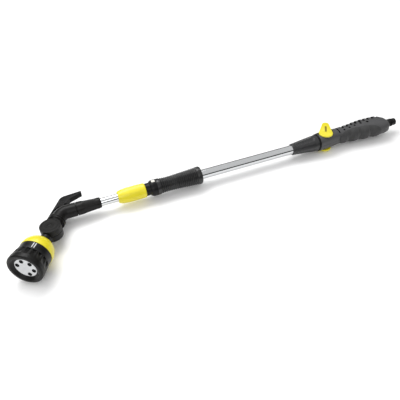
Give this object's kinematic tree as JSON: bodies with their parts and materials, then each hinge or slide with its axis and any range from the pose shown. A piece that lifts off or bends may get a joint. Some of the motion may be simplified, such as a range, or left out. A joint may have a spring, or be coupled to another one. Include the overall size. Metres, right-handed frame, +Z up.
{
  "type": "telescopic watering wand",
  "caption": "Telescopic watering wand: thumb valve handle, twist-lock tube, bent elbow and a tilting shower head with a turning spray selector.",
  "frame": {"origin": "on the tube axis, at the end of the hose nipple's plain cylindrical nose", "axes": "+X along the tubes and out of the hose end, +Z up with the wand lying on the ground on its handle, grip and head, +Y towards the thumb side of the handle"},
  "size_m": [0.8647, 0.1829, 0.0693],
  "materials": {
    "black_plastic": "smooth moulded",
    "charcoal_plastic": "fine matt grain",
    "soft_rubber": "soft matt",
    "dark_plastic": "satin moulded",
    "seal_rubber": "smooth",
    "bright_tube": "polished and drawn",
    "steel": "bright",
    "chromed_ball": "polished",
    "nylon": "natural",
    "yellow_plastic": "satin gloss",
    "grey_plastic": "satin"
  },
  "bodies": {
    "handle": {"hose_nipple": "black_plastic", "nipple_seal": "seal_rubber", "inlet_strainer": "steel", "inlet_tube": "black_plastic", "handle_shell_upper": "charcoal_plastic", "handle_shell_lower": "charcoal_plastic", "spine_insert": "soft_rubber", "finger_grip": "soft_rubber", "shell_screws": "steel", "valve_body": "black_plastic", "ball_seats": "nylon", "spindle_seals": "seal_rubber", "lock_ring": "black_plastic", "tube_socket": "charcoal_plastic", "socket_seal": "seal_rubber", "outer_tube": "bright_tube", "guide_bush": "nylon", "grip_sleeve": "soft_rubber", "clamp_base": "black_plastic", "collet": "nylon", "lock_marker": "nylon"},
    "toggle": {"valve_ball": "chromed_ball", "valve_spindle": "steel", "pivot_pin": "steel", "flow_toggle": "yellow_plastic"},
    "nut": {"clamp_nut": "yellow_plastic"},
    "lance": {"inner_tube": "bright_tube", "piston_bush": "nylon", "piston_seal": "seal_rubber", "connector": "dark_plastic", "connector_seal": "seal_rubber", "elbow": "dark_plastic", "hinge_cap": "dark_plastic", "tilt_pin": "steel", "lever_pivot_pin": "steel"},
    "lever": {"release_lever": "dark_plastic", "lever_spring": "steel", "brake_pad": "soft_rubber"},
    "head": {"tilt_knuckle": "dark_plastic", "tilt_seal": "seal_rubber", "neck_nut": "steel", "dome": "yellow_plastic", "head_housing": "black_plastic", "pattern_marker": "grey_plastic", "port_seal": "seal_rubber", "detent_spring": "steel", "detent_ball": "steel", "selector_screw": "steel"},
    "selector": {"bezel": "dark_plastic", "pattern_plate": "nylon", "jets": "black_plastic", "face_plate": "grey_plastic"}
  },
  "joints": [
    {"name": "toggle_swing", "type": "hinge", "parent": "handle", "child": "toggle", "pos_m": [-0.186, 0, 0], "axis": [0, 0.1167, 0.9932], "range_deg": [0, 66]},
    {"name": "nut_twist", "type": "hinge", "parent": "handle", "child": "nut", "pos_m": [-0.6184, 0, 0], "axis": [1, 0, 0], "range_deg": [0, 90]},
    {"name": "telescope_slide", "type": "slide", "parent": "handle", "child": "lance", "axis": [-1, 0, 0], "range_m": [0, 0.3]},
    {"name": "lever_press", "type": "hinge", "parent": "lance", "child": "lever", "pos_m": [-0.7572, 0.01937, -0.00228], "axis": [0, 0.1167, 0.9932], "range_deg": [-14, 0], "stiffness_Nm_per_rad": 0.05, "springref_deg": 20.05},
    {"name": "head_tilt", "type": "hinge", "parent": "lance", "child": "head", "pos_m": [-0.78485, -0.04068, 0.00478], "axis": [0, 0.1167, 0.9932], "range_deg": [-85, 95]},
    {"name": "selector_turn", "type": "hinge", "parent": "head", "child": "selector", "pos_m": [-0.83634, -0.11508, 0.01352], "axis": [-0.5664, -0.8185, 0.0962], "continuous": true}
  ]
}
